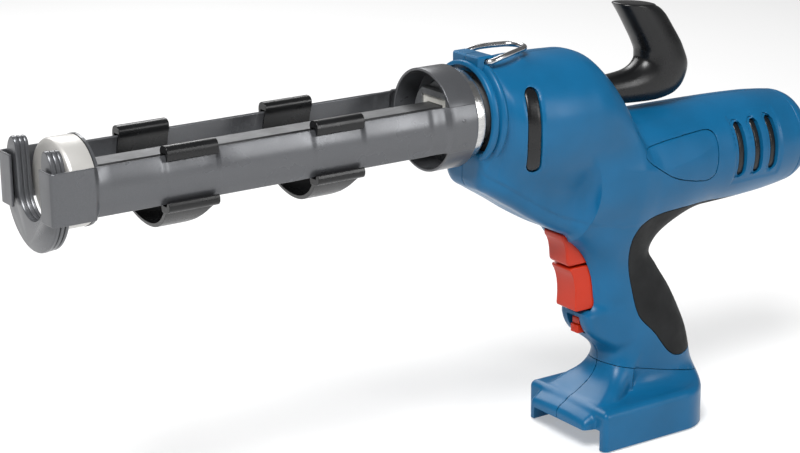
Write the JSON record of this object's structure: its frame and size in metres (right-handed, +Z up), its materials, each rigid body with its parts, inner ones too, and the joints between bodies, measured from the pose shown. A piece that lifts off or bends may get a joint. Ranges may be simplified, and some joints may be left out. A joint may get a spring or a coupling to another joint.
{
  "type": "cordless caulking gun",
  "caption": "Cordless caulking gun without its battery: open turning cartridge holder, toothed feed rod with pusher plate and pull handle, pistol grip with two-part trigger and battery shoe.",
  "frame": {"origin": "under the middle of the tool's length, on the plane of the foot's base", "axes": "+Z up along the grip, +X towards the motor end, -X towards the cartridge nozzle, +Y to the right side of the tool's middle plane"},
  "size_m": [0.5214, 0.078, 0.2605],
  "materials": {
    "blue_plastic": "satin",
    "black_plastic": "satin",
    "soft_rubber": "matt",
    "red_plastic": "satin",
    "coated_steel": "satin silver grey",
    "bright_zinc": "zinc plated",
    "rod_steel": "brushed",
    "chrome": "polished",
    "cast_metal": "cast",
    "gear_steel": "machined",
    "brass": "machined",
    "white_nylon": "matt",
    "copper": "wound"
  },
  "bodies": {
    "housing": {"left_shell": "blue_plastic", "right_shell": "blue_plastic", "rear_cap": "blue_plastic", "left_soft_grip": "soft_rubber", "right_soft_grip": "soft_rubber", "left_side_insert": "black_plastic", "right_side_insert": "black_plastic", "left_vent_liner": "black_plastic", "right_vent_liner": "black_plastic", "left_label_plate": "blue_plastic", "right_label_plate": "blue_plastic", "left_foot_shell": "blue_plastic", "right_foot_shell": "blue_plastic", "terminal_block": "black_plastic", "contact_blade_1": "brass", "contact_blade_2": "brass", "contact_blade_3": "brass", "swivel_ring": "bright_zinc", "gear_case": "cast_metal", "front_rod_bush": "white_nylon", "rear_rod_bush": "white_nylon", "left_shaft_bearing": "gear_steel", "right_shaft_bearing": "gear_steel", "motor_can": "gear_steel", "ring_gear": "cast_metal", "switch_module": "black_plastic", "trigger_pivot_pin": "gear_steel", "trigger_spring": "gear_steel", "housing_screw_1": "gear_steel", "housing_screw_2": "gear_steel", "housing_screw_3": "gear_steel", "housing_screw_4": "gear_steel", "housing_screw_5": "gear_steel", "foot_screw_1": "gear_steel", "foot_screw_2": "gear_steel"},
    "cartridge_holder": {"front_plate": "coated_steel", "left_rail": "coated_steel", "right_rail": "coated_steel", "collar": "coated_steel", "front_cradle": "black_plastic", "rear_cradle": "black_plastic"},
    "feed_rod": {"feed_rod": "rod_steel", "pusher_plate": "bright_zinc", "pusher_backing": "coated_steel", "pusher_screw": "bright_zinc", "pull_handle": "black_plastic"},
    "pinion": {"pinion_shaft": "gear_steel"},
    "clutch": {"clutch_plate": "gear_steel"},
    "worm_wheel": {"worm_wheel": "brass"},
    "worm": {"worm_shaft": "gear_steel"},
    "carrier": {"planet_carrier": "gear_steel"},
    "planet_1": {"planet_gear_1": "gear_steel"},
    "planet_2": {"planet_gear_2": "gear_steel"},
    "planet_3": {"planet_gear_3": "gear_steel"},
    "rotor": {"motor_rotor": "copper", "cooling_fan": "black_plastic"},
    "upper_trigger": {"upper_trigger": "red_plastic"},
    "lower_trigger": {"lower_trigger": "red_plastic"},
    "lock_slider": {"lock_slider": "red_plastic"},
    "hang_ring": {"hang_ring": "chrome"}
  },
  "joints": [
    {"name": "holder_spin", "type": "hinge", "parent": "housing", "child": "cartridge_holder", "pos_m": [-0.0015, 0, 0.211], "axis": [1, 0, 0], "continuous": true},
    {"name": "rod_slide", "type": "slide", "parent": "housing", "child": "feed_rod", "axis": [1, 0, 0], "range_m": [0, 0.215]},
    {"name": "pinion_spin", "type": "hinge", "parent": "housing", "child": "pinion", "pos_m": [0.0585, 0, 0.1965], "axis": [0, 1, 0], "range_deg": [-5, 1650]},
    {"name": "clutch_shift", "type": "slide", "parent": "pinion", "child": "clutch", "axis": [0, -1, 0], "range_m": [0, 0.0016]},
    {"name": "rotor_spin", "type": "hinge", "parent": "housing", "child": "rotor", "pos_m": [-0.0015, 0, 0.163], "axis": [1, 0, 0], "continuous": true},
    {"name": "carrier_spin", "type": "hinge", "parent": "housing", "child": "carrier", "pos_m": [-0.0015, 0, 0.163], "axis": [1, 0, 0], "continuous": true},
    {"name": "planet_1_spin", "type": "hinge", "parent": "carrier", "child": "planet_1", "pos_m": [0.0903, 0.0105, 0.163], "axis": [1, 0, 0], "continuous": true},
    {"name": "planet_2_spin", "type": "hinge", "parent": "carrier", "child": "planet_2", "pos_m": [0.0903, -0.00525, 0.17209], "axis": [1, 0, 0], "continuous": true},
    {"name": "planet_3_spin", "type": "hinge", "parent": "carrier", "child": "planet_3", "pos_m": [0.0903, -0.00525, 0.15391], "axis": [1, 0, 0], "continuous": true},
    {"name": "worm_spin", "type": "hinge", "parent": "housing", "child": "worm", "pos_m": [0.0585, 0.00939, 0.17125], "axis": [1, 0, 0], "continuous": true},
    {"name": "worm_wheel_spin", "type": "hinge", "parent": "housing", "child": "worm_wheel", "pos_m": [0.0585, 0, 0.1965], "axis": [0, 1, 0], "continuous": true},
    {"name": "trigger_slide", "type": "slide", "parent": "housing", "child": "lower_trigger", "axis": [1, 0, 0], "range_m": [0, 0.006], "stiffness_N_per_m": 700, "springref_m": -0.004, "deforming": ["trigger_spring"]},
    {"name": "upper_trigger_swing", "type": "hinge", "parent": "housing", "child": "upper_trigger", "pos_m": [0.083, 0, 0.136], "axis": [0, -1, 0], "range_deg": [0, 5], "stiffness_Nm_per_rad": 0.5, "springref_deg": -5.73},
    {"name": "lock_slide", "type": "slide", "parent": "housing", "child": "lock_slider", "axis": [0, 1, 0], "range_m": [-0.0022, 0.0022]},
    {"name": "hang_ring_swing", "type": "hinge", "parent": "housing", "child": "hang_ring", "pos_m": [0.012, 0, 0.241], "axis": [0, -1, 0], "range_deg": [0, 150]}
  ],
  "couplings": [
    {"joint": "pinion_spin", "follows": "rod_slide", "rad_per_m": 133.33},
    {"joint": "clutch_shift", "follows": "trigger_slide", "ratio": 0.25},
    {"joint": "carrier_spin", "follows": "rotor_spin", "ratio": 0.21429},
    {"joint": "planet_1_spin", "follows": "rotor_spin", "ratio": -0.58929},
    {"joint": "planet_2_spin", "follows": "rotor_spin", "ratio": -0.58929},
    {"joint": "planet_3_spin", "follows": "rotor_spin", "ratio": -0.58929},
    {"joint": "worm_spin", "follows": "rotor_spin", "ratio": -0.21429},
    {"joint": "worm_wheel_spin", "follows": "rotor_spin", "ratio": 0.0071429}
  ]
}
